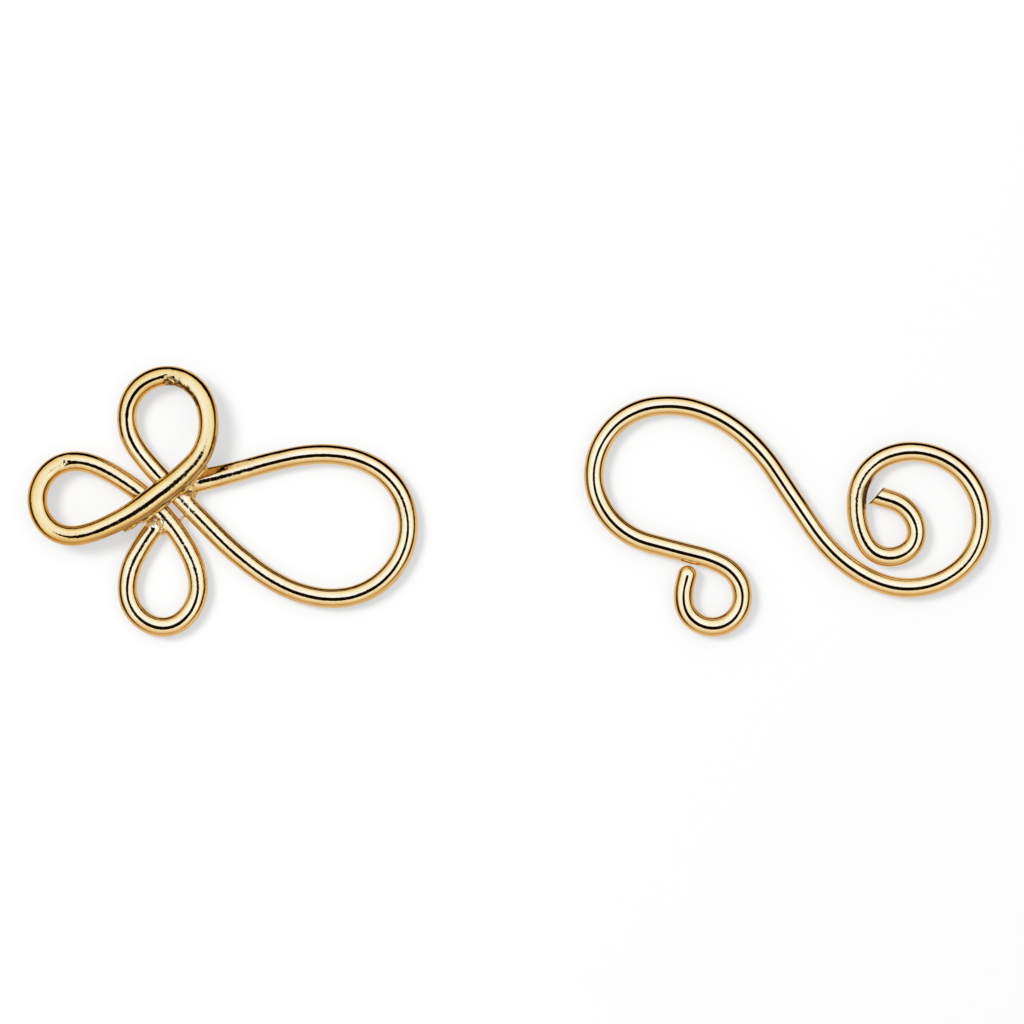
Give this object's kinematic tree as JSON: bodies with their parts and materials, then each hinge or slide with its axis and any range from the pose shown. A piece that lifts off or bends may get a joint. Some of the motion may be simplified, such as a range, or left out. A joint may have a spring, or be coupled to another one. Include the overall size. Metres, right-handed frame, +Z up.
{
  "type": "hook and eye clasp",
  "caption": "Jewellery hook and eye clasp in round gold-plated wire: a long S-shaped hook with a curled tip and an eye with a big loop and small petal loops.",
  "frame": {"origin": "middle of the pair's box, on the surface that both halves lie on", "axes": "+X along the pair, from the eye to the hook's ring; +Y across it, from the eye's lower petal to its upper one; +Z up from the surface"},
  "size_m": [0.0626, 0.0176, 0.0025],
  "materials": {
    "gold_plate": "polished"
  },
  "bodies": {
    "root": {"eye": "gold_plate", "hook": "gold_plate"}
  },
  "joints": []
}
